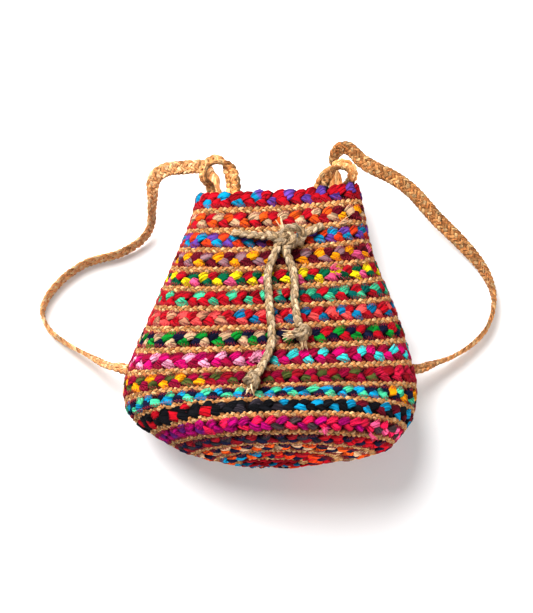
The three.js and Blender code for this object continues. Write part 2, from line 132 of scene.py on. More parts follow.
def wall_point(around, turn):
    """Point on the middle of the wall. around runs from the back over the left, front and right sides."""
    across = across_at(around, turn)
    upright = -np.cos(2 * np.pi * around)
    front = upright > 0
    share = rounded(np.abs(upright), 2 / column("box", turn))
    share = np.where(front, share, np.minimum(1, PRESSED_FLAT * share))
    end_y = np.where(front, column("front_y", turn), column("back_y", turn))
    end_z = np.where(front, column("front_z", turn), column("back_z", turn))
    side_y, side_z = column("side_y", turn), column("side_z", turn)
    y = side_y + (end_y - side_y) * share
    rise = np.where(front, column("sag", turn) * across**2 * share, 0)
    z = side_z + (end_z - side_z) * share + rise
    x = column("middle", turn) + column("half_width", turn) * across + ROLL * (z - ROLL_HEIGHT)
    return np.stack(np.broadcast_arrays(x, y, z), axis=-1)


def unit(vectors):
    return vectors / np.maximum(np.linalg.norm(vectors, axis=-1, keepdims=True), 1e-9)


def wall_normal(around, turn):
    around_step, turn_step = 0.004, 0.05
    along = wall_point(around + around_step, turn) - wall_point(around - around_step, turn)
    to_rim = wall_point(around, turn + turn_step) - wall_point(around, turn - turn_step)
    return unit(np.cross(along, to_rim))


def off_wall(around, turn, height):
    """Point at a height above the middle of the wall."""
    return wall_point(around, turn) + wall_normal(around, turn) * np.asarray(height)[..., None]


def around_on_front(across, turn):
    """Place around the bag of a point on the front panel, by its distance across from the middle."""
    share = np.clip((across - column("middle", turn)) / column("half_width", turn), -1, 1)
    return FRONT + np.arcsin(rounded(share, column("box", turn) / 2)) / (2 * np.pi)


def on_front(across, turn, height):
    return off_wall(around_on_front(across, turn), turn, height)


print("front middle of the last turn:", on_front(0.0, TURNS, 0.0))


# %% [markdown]
# ## The spiral
# A coiled bag has no closed rings: each turn climbs by its own width until it lies on the next. On the
# flat base the climb is kept underneath, where nobody sees it, and on the wall it is spread evenly, so
# that the rows slope a little as they do on the real bag.

# %% Edges of the turns
CHANGING_TURNS = 3
TAIL_START, TAIL_DROP = 0.8, 0.5
BAND_SAMPLES, FEWEST_STEPS = 700, 8


def climb(around, turn):
    """How far a turn has climbed by a place around the bag, from 0 to 1."""
    half, quarter = 0.5, 0.25
    stepped = np.full_like(around, half)
    stepped = np.where(around < UNDERNEATH, half * smooth_step(around / UNDERNEATH), stepped)
    still_to_come = half * smooth_step((1 - around) / UNDERNEATH)
    stepped = np.where(around > 1 - UNDERNEATH, 1 - still_to_come, stepped)
    across = across_at(around, max(turn, 1))
    steady = half + quarter * across
    steady = np.where(around < LEFT_SIDE, -quarter * across, steady)
    steady = np.where(around > RIGHT_SIDE, 1 - quarter * across, steady)
    wall_share = np.clip((turn - BASE_TURNS) / CHANGING_TURNS, 0, 1)
    return stepped + (steady - stepped) * wall_share


def turn_edge(number, around):
    """Lower edge of a turn, counted in turns. Past the last turn it drops, where the plait runs out."""
    if number == 1:
        return np.full_like(around, CORE_EDGE)
    edge = CORE_EDGE + number - 1 + climb(around, number) - 0.5
    if number == TURNS + 1:
        edge = edge - TAIL_DROP * np.maximum(0, (around - TAIL_START) / (1 - TAIL_START))
    return edge


def running_length(points):
    steps = np.linalg.norm(np.diff(points, axis=0), axis=1)
    return np.concatenate([[0.0], np.cumsum(steps)])


class WallBand:
    """The strip of wall that one turn of a plait covers, measured along its middle."""

    def __init__(self, number, from_share, to_share):
        power = column("box", number) / 2
        seam = np.arcsin((SEAM_GAP / column("half_width", number)) ** power) / (2 * np.pi)
        self.around = np.linspace(seam, 1 - seam, BAND_SAMPLES)
        inner, outer = turn_edge(number, self.around), turn_edge(number + 1, self.around)
        self.low = inner + (outer - inner) * from_share
        self.high = inner + (outer - inner) * to_share
        self.along = running_length(wall_point(self.around, (self.low + self.high) / 2))
        self.length = self.along[-1]
        edges = wall_point(self.around, self.high) - wall_point(self.around, self.low)
        self.widths = np.linalg.norm(edges, axis=1)

    def stations(self, step):
        """Places along the band, twice as far apart underneath, where the bag lies on the floor."""
        in_view = (self.around[1:] > UNDERNEATH) & (self.around[1:] < 1 - UNDERNEATH)
        paces = np.concatenate([[0.0], np.cumsum(np.diff(self.along) * np.where(in_view, 1.0, 0.5))])
        count = max(int(paces[-1] / step), FEWEST_STEPS) + 1
        return np.interp(np.linspace(0, paces[-1], count), paces, self.along)

    def around_at(self, along):
        return np.interp(along, self.along, self.around)

    def width_at(self, along):
        return np.interp(along, self.along, self.widths)

    def place(self, along, share, height):
        """Point at a length along the band, a share of its half width to the side, and a height."""
        low, high = np.interp(along, self.along, self.low), np.interp(along, self.along, self.high)
        turn = (low + high) / 2 + share * (high - low) / 2
        return off_wall(self.around_at(along), turn, height)


rag_bands = {number: WallBand(number, JUTE_SHARE, 1) for number in range(1, TURNS + 1)}
jute_bands = {number: WallBand(number, 0, JUTE_SHARE) for number in range(1, TURNS + 1)}
print("metres of rag plait:", round(sum(band.length for band in rag_bands.values()) * MILLIMETRE, 2))

# %% [markdown]
# ## A plait
# Three strands swing from side to side, a third of a swing apart, and each dips under at every crossing.
# The swing is a sine drawn out into straighter legs, because a flat plait shows sharp chevrons, and a
# faster sine lifts and dips the strand. A bevelled curve could draw such a flattened tube, but here every
# strand carries its own dye and painted shade, so its rings are worked out as arrays.

# %% Bands in the open
class Ribbon:
    """A strip in the open: a line of points with the direction of its width at each of them."""

    def __init__(self, points, widths, width):
        self.points, self.width = points, width
        self.along = running_length(points)
        self.length = self.along[-1]
        across, tangents = unit(widths), unit(np.gradient(points, axis=0))
        self.across = unit(across - tangents * np.sum(across * tangents, axis=1, keepdims=True))
        self.flat = np.cross(tangents, self.across)

    def stations(self, step):
        return np.linspace(0, self.length, max(int(self.length / step), FEWEST_STEPS) + 1)

    def at(self, along, rows):
        return np.stack([np.interp(along, self.along, rows[:, axis]) for axis in range(3)], axis=-1)

    def width_at(self, along):
        return np.full_like(along, self.width)

    def place(self, along, share, height):
        side = self.at(along, self.across) * (share * self.width / 2)[..., None]
        return self.at(along, self.points) + side + self.at(along, self.flat) * height[..., None]


# %% Strands of a plait
SEED = 7
rng = np.random.default_rng(SEED)
WANDER_STRETCHES = (0.6, 1.1, 1.6)
# Painted shade: the level in the plait where the hollows start to clear, and the rise over which they do.
HOLLOW_LEVEL, CREST_RISE = 0.05, 0.55
PACE_WAVE, LIFT_WAVE, WIDTH_WAVE, THICK_WAVE, CREASE_WAVE = 90, 40, 23, 17, 30
CREASE_TURN = 2.0
WIDE_FOLDS, NARROW_FOLDS = 3, 5
COMB_SPREAD, COMB_BLEND = 0.95, 18
EDGE_START, EDGE_SPAN = 0.75, 0.3


def wander(along, wave, size):
    """A slow, smooth, random drift along a strand: three waves of unlike lengths, added up."""
    drift = np.zeros_like(along)
    for stretch in WANDER_STRETCHES:
        drift += np.sin(along * 2 * np.pi / (wave * stretch) + rng.uniform(0, 2 * np.pi))
    return drift * size / 2


def painted_hollow_shade(level, darkest):
    """Painted shade of a point by its height in the plait: dark in the hollows, clear on the crests."""
    return darkest + (1 - darkest) * smooth_step(np.clip((level - HOLLOW_LEVEL) / CREST_RISE, 0, 1))


class Plait:
    """How one kind of plait is laid: sizes in millimetres, widths as shares of the band.

    A full swing takes one period, and dip is the rise over a crossing. Below 1, flatness makes a strand
    squarer. It comes up late after a crossing, its legs are straighter the more angular it is, folds crumple
    it and loose lets it drift. The hollows take the darkest painted shade, and painted shade also darkens
    the borders.
    """

    strands, step, sides, folds = 3, 1.5, 8, 0.06
    flatness, late, angular, painted_edge_shade = 0.75, 0.0, 0.4, 0.0

    def __init__(self, **settings):
        vars(self).update(settings)


RAG_PLAIT = Plait(
    period=35.0, swing=0.59, dip=2.1, width=0.58, thick=4.4, step=2.2, sides=14, folds=0.05,
    loose=0.14, darkest=0.05, flatness=0.5, late=0.3, angular=0.95, painted_edge_shade=0.5,
)
JUTE_PLAIT = Plait(
    period=16.5, swing=0.62, dip=2.1, width=0.56, thick=3.8, folds=0.04,
    loose=0.08, darkest=0.02, flatness=0.8, late=0.15, angular=0.85, painted_edge_shade=0.6,
)


def strand_path(plait, along, number, shift, comb):
    """Phase of one strand in its swing, its place across the band, and its height."""
    drift = wander(along, PACE_WAVE, plait.loose / 2)
    phase = 2 * np.pi * (along / plait.period + number / plait.strands + shift + drift)
    share = plait.swing * np.arcsin(plait.angular * np.sin(phase)) / np.arcsin(plait.angular)
    over = rounded(np.sin((plait.strands - 1) * phase - plait.late), plait.flatness)
    height = plait.dip * over + wander(along, LIFT_WAVE, plait.loose * 2)
    if comb > 0:
        parallel = (2 * number / (plait.strands - 1) - 1) * (1 - plait.width) * COMB_SPREAD
        blend = np.clip((along - comb) / COMB_BLEND, 0, 1)
        share = parallel + (share - parallel) * blend
        height = height * blend
    return phase, share, height


def strand_section(plait, band_width, along, phase):
    """How far each point of every ring lies from the middle of its strand, sideways and outward."""
    angles = np.linspace(0, 2 * np.pi, plait.sides, endpoint=False) - np.pi / 2
    spread = 1 + plait.late * (np.sin(phase) ** 2 - 0.5)
    half_width = band_width * plait.width / 2 * spread * (1 + wander(along, WIDTH_WAVE, plait.loose))
    half_thick = plait.thick / 2 * (1 + wander(along, THICK_WAVE, plait.loose))
    crease = wander(along, CREASE_WAVE, CREASE_TURN)[:, None]
    folds = np.sin(WIDE_FOLDS * angles + crease) + np.sin(NARROW_FOLDS * angles - crease)
    crumpled = 1 + plait.folds * folds
    sideways = rounded(np.cos(angles), plait.flatness) * half_width[:, None] * crumpled
    outward = rounded(np.sin(angles), plait.flatness) * half_thick[:, None] * crumpled
    return sideways, outward


def lay_strands(band, plait, comb=0.0):
    """Strands of a plait along a band: rings, length along, phase, and the painted shade of every point."""
    along = band.stations(plait.step)
    band_width = band.width_at(along)
    top = plait.dip + plait.thick / 2
    shift = rng.uniform(0, 1)
    strands = []
    for number in range(plait.strands):
        phase, share, height = strand_path(plait, along, number, shift, comb)
        sideways, outward = strand_section(plait, band_width, along, phase)
        centre = band.place(along, share, height)
        out = unit(band.place(along, share, height + 1) - centre)
        forward = unit(np.gradient(centre, axis=0))
        side = unit(np.cross(forward, out))
        out = np.cross(side, forward)
        rings = centre[:, None] + side[:, None] * sideways[..., None] + out[:, None] * outward[..., None]
        # Painted shade along the borders of the band, where a strand lies deep beside the next row.
        edge = np.abs(share[:, None] + 2 * sideways / band_width[:, None])
        edge_shade = plait.painted_edge_shade * np.clip((edge - EDGE_START) / EDGE_SPAN, 0, 1)
        level = (height[:, None] + outward) / top - edge_shade
        # Painted shade of each point: the deeper it lies in the plait, the darker it is.
        strands.append((rings, along, phase, painted_hollow_shade(level, plait.darkest)))
    return strands


print("strands in a rag plait:", RAG_PLAIT.strands)

# %% [markdown]
# ## Meshes from strands
# All tubes of a piece go into one mesh. Two attributes travel with its points: the dye, darkened by a
# painted shade the deeper the point lies, and a map with the length along the strand and the way around it,
# for the finish.

# %% Bundles of tubes
FLOOR_CLEARANCE = 0.05
MAP_UNIT, MAP_SHIFT = 10, 40.0


class Bundle:
    """Collects tubes of points, each with its dye and painted shade, and turns them into one mesh."""

    def __init__(self):
        self.points, self.faces, self.dyes, self.maps = [], [], [], []
        self.count = 0

    def add_tube(self, rings, dyes, along, shade=None):
        """One tube: one dye or a dye for every ring, and if given a painted shade for every point."""
        steps, sides = rings.shape[:2]
        dyes = np.broadcast_to(dyes, (steps, 3))
        shade = np.ones((steps, sides)) if shade is None else shade
        points = rings.reshape(-1, 3).copy()
        points[:, 2] = np.maximum(points[:, 2], FLOOR_CLEARANCE)
        index = np.arange(steps * sides).reshape(steps, sides) + self.count
        following = np.roll(index, -1, axis=1)
        quads = np.stack([index[:-1], following[:-1], following[1:], index[1:]], axis=-1).reshape(-1, 4)
        self.faces.extend(quads.tolist())
        self.faces.extend([index[0, ::-1].tolist(), index[-1].tolist()])
        self.points.append(points)
        # Each point's dye is multiplied by its painted shade.
        self.dyes.append((dyes[:, None] * shade[..., None]).reshape(-1, 3))
        turned = np.tile(np.arange(sides) * 2 * np.pi / sides, steps)
        start = MAP_SHIFT * len(self.points)
        lengths = np.repeat(along, sides) / MAP_UNIT + start
        self.maps.append(np.stack([lengths, np.cos(turned), np.sin(turned)], axis=1))
        self.count += len(points)

    def make(self, name, finish):
        points = to_frame(np.concatenate(self.points))
        mesh = bpy.data.meshes.new(name)
        mesh.from_pydata(points.tolist(), [], self.faces)
        dye_and_shade = mesh.attributes.new("dye_and_shade", "FLOAT_COLOR", "POINT")
        colours = np.concatenate(self.dyes)
        colours = np.column_stack([colours, np.ones(len(colours))])
        dye_and_shade.data.foreach_set("color", colours.astype(np.float32).ravel())
        strand = mesh.attributes.new("strand", "FLOAT_VECTOR", "POINT")
        strand.data.foreach_set("vector", np.concatenate(self.maps).astype(np.float32).ravel())
        mesh.polygons.foreach_set("use_smooth", np.ones(len(mesh.polygons), dtype=bool))
        mesh.materials.append(finish)
        mesh.update()
        piece = bpy.data.objects.new(name, mesh)
        bpy.context.collection.objects.link(piece)
        return piece


def settle(piece, slot, *nodes):
    """Hangs a finished piece on the frame, in place of the solids that it stands for."""
    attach(piece, "root")
    if nodes:
        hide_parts(*nodes)
    return piece


# %% [markdown]
# ## Shader maths
# A finish is a graph of nodes. To read like a formula, a socket is wrapped in a small class: adding or
# multiplying two of them adds a Math node. All other nodes come from one method, which takes the node's
# type, settings and inputs.

# %% Sockets as values
class Value:
    """The output of a node, with arithmetic that adds Math nodes."""

    def __init__(self, tree, socket):
        self.tree, self.socket = tree, socket

    def math(self, operation, left, right):
        node = self.tree.nodes.new("ShaderNodeMath")
        node.operation = operation
        for index, item in enumerate((left, right)):
            if isinstance(item, Value):
                self.tree.links.new(item.socket, node.inputs[index])
            else:
                node.inputs[index].default_value = item
        return Value(self.tree, node.outputs[0])

    def __radd__(self, other):
        return self.math("ADD", other, self)

    def __sub__(self, other):
        return self.math("SUBTRACT", self, other)

    def __rsub__(self, other):
        return self.math("SUBTRACT", other, self)

    def __mul__(self, other):
        return self.math("MULTIPLY", self, other)

    def __abs__(self):
        return self.math("ABSOLUTE", self, 0.0)


class Finish:
    """A material with its main shader ready, and one method for every other node."""

    def __init__(self, name, constants):
        self.material = bpy.data.materials.new(name)
        self.material.use_nodes = True
        self.tree = self.material.node_tree
        self.shader = self.tree.nodes["Principled BSDF"]
        for socket, value in constants.items():
            self.shader.inputs[socket].default_value = value

    def node(self, kind, settings=None, inputs=None, output=0):
        node = self.tree.nodes.new(kind)
        for name, value in (settings or {}).items():
            setattr(node, name, value)
        for name, value in (inputs or {}).items():
            self.feed(node.inputs[name], value)
        return Value(self.tree, node.outputs[output])

    def feed(self, socket, value):
        if isinstance(value, Value):
            self.tree.links.new(value.socket, socket)
        else:
            socket.default_value = value

    def show(self, **inputs):
        for name, value in inputs.items():
            self.feed(self.shader.inputs[name.replace("_", " ")], value)
        return self.material


# %% [markdown]
# ## Cotton and jute
# Rag strips are cut jersey and cotton: matt, and crumpled along their length. Jute is coarser: long
# straw-coloured fibres that vary from pale to brown, with painted shade in the hollows between them. Both
# finishes read the dye and painted shade that a strand carries, and the map that runs along it, so the
# streaks follow the fibres. They also paint shade into the creases.

# %% Finishes of the strands
MIX_FACTOR, MIX_A, MIX_B, MIX_COLOUR = 0, 6, 7, 2
FIBRE_DETAIL, CREASE_DETAIL, NOISE_MIDDLE = 3.0, 1.0, 0.5
CREASE_HEIGHT, BUMP_STRENGTH, BUMP_DISTANCE = 0.6, 1.0, 0.002
MATT = {"Roughness": 0.9, "Specular IOR Level": 0.1}
THREAD_RED = (0.34, 0.008, 0.02, 1)


def strand_finish(name, constants, streaks, streak_depth, creases, crease_shade, crease_sharp):
    """Streaks and creases repeat along and around the strand: streaks vary the tone, creases get painted
    shade and a dent.
    """
    finish = Finish(name, constants)
    dye_and_shade = finish.node("ShaderNodeAttribute", {"attribute_name": "dye_and_shade"})
    strand = finish.node("ShaderNodeAttribute", {"attribute_name": "strand"}, output=1)

    def noise(repeats, detail):
        stretched = finish.node("ShaderNodeMapping", inputs={"Vector": strand, "Scale": repeats})
        pattern = {"Vector": stretched, "Scale": 1.0, "Detail": detail}
        return finish.node("ShaderNodeTexNoise", inputs=pattern)

    fibre = noise(streaks, FIBRE_DETAIL)
    valley = 1 - abs(noise(creases, CREASE_DETAIL) - NOISE_MIDDLE) * crease_sharp
    crease = finish.node("ShaderNodeClamp", inputs={"Value": valley})
    # Fibre streaks vary the tone; creases darken it with painted shade.
    shade = (1 - streak_depth) + fibre * (2 * streak_depth) - crease * crease_shade
    grey = finish.node("ShaderNodeCombineColor", inputs={"Red": shade, "Green": shade, "Blue": shade})
    colour = finish.node(
        "ShaderNodeMix",
        {"data_type": "RGBA", "blend_type": "MULTIPLY"},
        {MIX_FACTOR: 1.0, MIX_A: dye_and_shade, MIX_B: grey},
        MIX_COLOUR,
    )
    height = fibre - crease * CREASE_HEIGHT
    relief = {"Strength": BUMP_STRENGTH, "Distance": BUMP_DISTANCE, "Height": height}
    return finish.show(Base_Color=colour, Normal=finish.node("ShaderNodeBump", inputs=relief))


cotton = strand_finish(
    "rag_cotton", MATT,
    streaks=(2.0, 2.6, 2.6), streak_depth=0.5, creases=(0.5, 1.7, 1.7), crease_shade=0.55, crease_sharp=18.0,
)
jute = strand_finish(
    "jute_fibre", {"Roughness": 0.6, "Specular IOR Level": 0.3},
    streaks=(1.4, 4.4, 4.4), streak_depth=1.0, creases=(0.9, 2.8, 2.8), crease_shade=0.4, crease_sharp=16.0,
)
fibre = Finish("loose_fibre", MATT)
fibre.show(Base_Color=fibre.node("ShaderNodeAttribute", {"attribute_name": "dye_and_shade"}))
thread = Finish("red_thread", {"Base Color": THREAD_RED, "Roughness": 0.6}).material
print("finishes:", [material.name for material in (cotton, jute, fibre.material, thread)])

# %% [markdown]
# ## Dyes
# The rags come from many garments, so every row has its own three colours, and some strands are pieced
# together from two rags on the way. The chart below was written down row by row: up to a place
# across the bag, from -1 at the left to 1 at the right, these are the three dyes. A pair of dyes is a
# strip folded from two rags, one on each edge.

# %% Chart of the rag colours
DYES = {
    "red": (190, 16, 36), "dark red": (150, 16, 34), "maroon": (104, 14, 34), "vermilion": (230, 70, 28),
    "orange": (228, 92, 28), "amber": (250, 160, 12), "yellow": (246, 220, 20), "cream": (210, 172, 136),
    "tan": (200, 140, 110), "mauve": (156, 118, 124), "pink": (230, 92, 138), "pale pink": (234, 156, 184),
    "hot pink": (206, 8, 110), "magenta": (166, 5, 104), "raspberry": (188, 26, 62),
    "pink red": (226, 30, 82), "purple": (110, 72, 165), "plum": (92, 28, 104), "sky": (10, 146, 188),
    "blue": (6, 120, 164), "turquoise": (62, 204, 204),
    "mint": (76, 198, 152), "dark green": (0, 96, 64), "green": (10, 142, 50), "teal": (0, 104, 96),
    "navy": (24, 27, 56), "black": (22, 22, 27), "olive": (80, 88, 42), "brown grey": (76, 60, 62),
    "coral": (240, 88, 86), "charcoal": (52, 46, 54), "wine": (152, 8, 58),
}
END = 9.0
RAG_CHART = {
    16: ((-0.3, "sky", "red", "red"), (END, "purple", "red", "red")),
    15: ((0.62, "red", "orange", "cream"), (END, "maroon", "amber", "cream")),
    14: ((END, "purple", "sky", "vermilion"),),
    13: ((0.7, "maroon", "amber", "mauve"), (END, "maroon", "amber", "pink")),
    12: ((END, ("red", "pink"), "yellow", "dark green"),),
    11: ((0.0, "red", "red", "mint"), (END, "red", "mint", "teal")),
    10: ((-0.4, "coral", "tan", "red"), (END, "red", "blue", "coral")),
    9: ((0.0, "navy", "green", "cream"), (END, "navy", "green", "red")),
    8: ((-0.05, "hot pink", "pale pink", "wine"), (END, "hot pink", "turquoise", "wine")),
    7: ((-0.5, "amber", "olive", "wine"), (0.7, "olive", "wine", "dark red"),
        (END, "dark red", "raspberry", "raspberry")),
    6: ((0.72, "sky", "mint", "navy"), (END, "amber", "navy", "mint")),
    5: ((-0.45, "black", "red", "black"), (0.0, "black", "charcoal", "black"),
        (0.5, "black", "black", "sky"), (END, "black", "maroon", "sky")),
    4: ((-0.7, "plum", "magenta", "magenta"), (-0.2, "magenta", "magenta", "pink red"),
        (0.3, "magenta", "pink red", "brown grey"),
        (0.65, "pink red", "magenta", "raspberry"), (END, "pink red", "pink", "brown grey")),
    3: ((0.3, "dark red", "navy", "charcoal"), (END, "red", "navy", "red")),
    2: ((END, "orange", "cream", "navy"),),
    1: ((-0.3, "sky", "navy", "orange"), (END, "navy", "vermilion", "red")),
}


def linear(rgb):
    """A screen colour, in steps up to 255, as the light that a shader works with."""
    share = np.asarray(rgb, float) / 255
    return np.where(share <= 0.04045, share / 12.92, ((share + 0.055) / 1.055) ** 2.4)


def strand_dyes(chart, strand, across, phase):
    """Dye of one strand at each of its rings."""
    dyes = np.zeros((len(across), 3))
    done = np.zeros(len(across), dtype=bool)
    for until, *names in chart:
        name = names[strand]
        pair = name if isinstance(name, tuple) else (name, name)
        here = ~done & (across <= until)
        upper = np.sin(phase) > 0
        dyes[here & upper] = linear(DYES[pair[0]])
        dyes[here & ~upper] = linear(DYES[pair[1]])
        done |= here
    return dyes


print("dyes:", len(DYES), "rows charted:", len(RAG_CHART))

# %% [markdown]
# ## The rag plait
# One piece for each turn, in place of the solid turn. A flat strip runs through the middle of each
# plait, because the small holes where three strands meet are full of cloth on the real bag, and must not
# let the light through; its near-black colour is painted shade, the dark of those holes. The base faces
# away from the lamp, so its dyes are laid on stronger, and the upper rows weaker: painted light and shade by
# row.

# %% Rag turns
# Painted light and shade by row: the base, which faces away from the lamp, is brightened, and the upper rows
# are darkened.
BASE_LIGHT_GAIN, LOWER_LIGHT_GAIN, PANEL_LIGHT_GAIN = 1.45, 1.0, 0.86
TINT_WAVE, TINT_DRIFT = 60, 0.14
BEYOND_SIDE = 1.2
FILLER_HALF, FILLER_STEP = 0.9, 6.0
FILLER_CORNERS = ((-1, -1), (1, -1), (1, 1), (-1, 1))
# Near black: painted shade for the holes of the rag plait, which the strip also closes.
RAG_SHADE_STRIP = (1.2, (20, 8, 10))
SLOTS = {entry["node"]: entry["material_slot"] for entry in frame["record"]["subparts"]}


def shade_strip(bundle, band, half_thick, dye_and_shade):
    """A flat strip along the middle of a band, in a dark colour that is painted shade."""
    along = np.linspace(0, band.length, max(int(band.length / FILLER_STEP), FEWEST_STEPS))
    level = np.ones_like(along)
    edges = [band.place(along, FILLER_HALF * s * level, half_thick * h * level) for s, h in FILLER_CORNERS]
    bundle.add_tube(np.stack(edges, axis=1), linear(dye_and_shade), along)


def row_light_gain(number):
    if number <= BASE_TURNS:
        return BASE_LIGHT_GAIN
    return LOWER_LIGHT_GAIN if number <= LOWER_TURNS else PANEL_LIGHT_GAIN


def rag_turn(number):
    band, bundle = rag_bands[number], Bundle()
    for strand, (rings, along, phase, shade) in enumerate(lay_strands(band, RAG_PLAIT)):
        around = band.around_at(along)
        across = np.where(around > RIGHT_SIDE, BEYOND_SIDE, across_at(around, number))
        across = np.where(around < LEFT_SIDE, -BEYOND_SIDE, across)
        dyes = strand_dyes(RAG_CHART[number], strand, across, phase)
        # Painted light of the row, times a slow random drift in tone.
        tint = row_light_gain(number) * (1 + wander(along, TINT_WAVE, TINT_DRIFT)[:, None])
        bundle.add_tube(rings, dyes * tint, along, shade)
    shade_strip(bundle, band, *RAG_SHADE_STRIP)
    node = f"rag_turn_{number:02d}"
    return settle(bundle.make(f"rag_plait_{number:02d}", cotton), SLOTS[node], node)


rag_pieces = [rag_turn(number) for number in range(1, TURNS + 1)]
print("rag turns:", len(rag_pieces), "faces:", sum(len(piece.data.polygons) for piece in rag_pieces))

# %% [markdown]
# ## The jute plait
# The same way at a smaller size, in straw colours that vary from strand to strand.

# %% Jute turns
JUTE_DYES = ((244, 176, 110), (226, 150, 86), (252, 202, 142))
FIBRE_WAVE, JUTE_DRIFT = 35, 0.16
# Dark brown: painted shade for the holes of the jute plait.
JUTE_SHADE_STRIP = (0.7, (74, 44, 22))


def fibre_plait(bundle, band, plait, dyes, drift, comb=0.0, painted_light=1.0, in_wall=False):
    """A plait of jute or rope. In the open both its faces are lit, so a point takes the lighter painted
    shade, raised by a painted light gain.
    """
    for strand, (rings, along, _, shade) in enumerate(lay_strands(band, plait, comb)):
        if not in_wall:
            # The lighter of both faces' painted shades, times the painted light gain.
            shade = painted_light * np.maximum(shade, np.roll(shade, shade.shape[1] // 2, axis=1))
        tint = 1 + wander(along, FIBRE_WAVE, drift)[:, None]
        bundle.add_tube(rings, linear(dyes[strand % len(dyes)]) * tint, along, shade)


def jute_turn(number):
    band, bundle = jute_bands[number], Bundle()
    fibre_plait(bundle, band, JUTE_PLAIT, JUTE_DYES, JUTE_DRIFT, in_wall=True)
    shade_strip(bundle, band, *JUTE_SHADE_STRIP)
    return settle(bundle.make(f"jute_plait_{number:02d}", jute), "jute", f"jute_turn_{number:02d}")


jute_pieces = [jute_turn(number) for number in range(1, TURNS + 1)]
print("jute turns:", len(jute_pieces), "faces:", sum(len(piece.data.polygons) for piece in jute_pieces))

# %% [markdown]
# ## The middle of the base
# The coil starts as a short straight plait that is folded back on itself. Two short runs of the rag plait,
# side by side, stand for it.

# %% Base core
CORE_MIDDLE = np.array([-1.0, -142.0, 38.0])
CORE_OVERHANG, CORE_SAMPLES, CORE_WIDTH = 7, 40, 9.0
CORE_ROWS = ((7.04, ("red", "red", "dark red")), (-7.04, ("red", "red", "blue")))
CORE_PLAIT = Plait(
    period=26.0, swing=0.46, dip=1.0, width=0.6, thick=4.6, step=2.2, sides=10, loose=0.05, darkest=0.3
)


def base_core():
    bundle = Bundle()
    half = column("half_width", 0.0) + CORE_OVERHANG
    for rise, colours in CORE_ROWS:
        points = CORE_MIDDLE + np.linspace((-half, 0, rise), (half, 0, rise), CORE_SAMPLES)
        ribbon = Ribbon(points, np.tile((0.0, 0.0, 1.0), (CORE_SAMPLES, 1)), CORE_WIDTH)
        for strand, (rings, along, phase, shade) in enumerate(lay_strands(ribbon, CORE_PLAIT)):
            dyes = strand_dyes(((END, *colours),), strand, np.zeros_like(along), phase)
            bundle.add_tube(rings, dyes, along, shade)
    return settle(bundle.make("base_core_plait", cotton), "rag_red", "base_core")


core_piece = base_core()
print("base core faces:", len(core_piece.data.polygons))

# %% [markdown]
# ## The red thread
# A machine zigzag in red joins every rag row to its jute rows. It crosses the border between them again
# and again, so its points are dropped on the strands from outside with a ray cast, and a thin tube is
# drawn through them. On the black row the thread sinks out of sight, and it is left out there.

# %% Zigzag thread
THREAD_PITCH, THREAD_REACH, THREAD_HALF = 2.8, 3.0, 0.32
THREAD_END, THREAD_LIFT, THREAD_PROUD = 2, 3.0, 0.6
THREAD_CORNERS = ((-0.9, -0.5), (0.9, -0.5), (0.0, 1.0))
ZIGZAG = (1.0, 0.3, -0.5, 0.3)
ROW_WIDTH = 24
DROP_FROM, DROP_REACH = 9, 16 * MILLIMETRE
DARK_TURNS = (5,)
FIRST_SEWN = 2


def surface_of(pieces):
    """One search tree over the strands of many pieces."""
    points, faces, count = [], [], 0
    for piece in pieces:
        mesh = piece.data
        flat = np.empty(len(mesh.vertices) * 3, dtype=np.float32)
        mesh.vertices.foreach_get("co", flat)
        points.append(flat.reshape(-1, 3))
        quads = [tuple(face.vertices) for face in mesh.polygons if len(face.vertices) == 4]
        faces.extend([index + count for index in quad] for quad in quads)
        count += len(mesh.vertices)
    return BVHTree.FromPolygons(np.concatenate(points).tolist(), faces)


strand_surface = surface_of(rag_pieces + jute_pieces)


def drop_on_strands(points, normals):
    """Each point moved straight onto the strands below it, a little proud of them."""
    start = to_frame(points + normals * DROP_FROM)
    landed = points.copy()
    for index in range(len(points)):
        hit, *_ = strand_surface.ray_cast(Vector(start[index]), Vector(-normals[index]), DROP_REACH)
        if hit is not None:
            landed[index] = np.array(hit) / MILLIMETRE + FOOTPRINT_MIDDLE
    return landed + normals * THREAD_HALF * THREAD_PROUD


def zigzag(bundle, number, share, rag_side):
    """A zigzag along one border of a turn, at a share of its width, that reaches further into the rags."""
    band = WallBand(number, share, share)
    legs = int(band.length / THREAD_PITCH * 2)
    along = np.linspace(THREAD_END, band.length - THREAD_END, 2 * legs)
    swing = rag_side * np.tile(ZIGZAG, legs // 2 + 1)[: len(along)]
    around = band.around_at(along)
    turn = np.interp(along, band.along, band.low) + swing * THREAD_REACH / ROW_WIDTH
    normals = wall_normal(around, turn)
    points = drop_on_strands(off_wall(around, turn, np.full_like(along, THREAD_LIFT)), normals)
    forward = unit(np.gradient(points, axis=0))
    side, up = unit(np.cross(forward, normals)) * THREAD_HALF, normals * THREAD_HALF
    rings = np.stack([points + side * s + up * h for s, h in THREAD_CORNERS], axis=1)
    bundle.add_tube(rings, np.zeros(3), along)


def thread_piece(name, numbers):
    bundle = Bundle()
    for number in numbers:
        if number not in DARK_TURNS:
            zigzag(bundle, number, JUTE_SHARE, 1)
        if number - 1 not in DARK_TURNS:
            zigzag(bundle, number, 0.0, -1)
    return settle(bundle.make(name, thread), "rag_red")


thread_pieces = [
    thread_piece("thread_lower", range(FIRST_SEWN, LOWER_TURNS + 1)),
    thread_piece("thread_upper", range(LOWER_TURNS + 1, TURNS + 1)),
]
print("thread faces:", [len(piece.data.polygons) for piece in thread_pieces])

# %% [markdown]
# ## Straps and top loops
# Flat plaits of four or five jute strands. Where a strap comes out of the mouth its cords still run side
# by side, like a comb, and the plait starts further on. The line of each strap is a smooth curve through
# the same points as its solid.

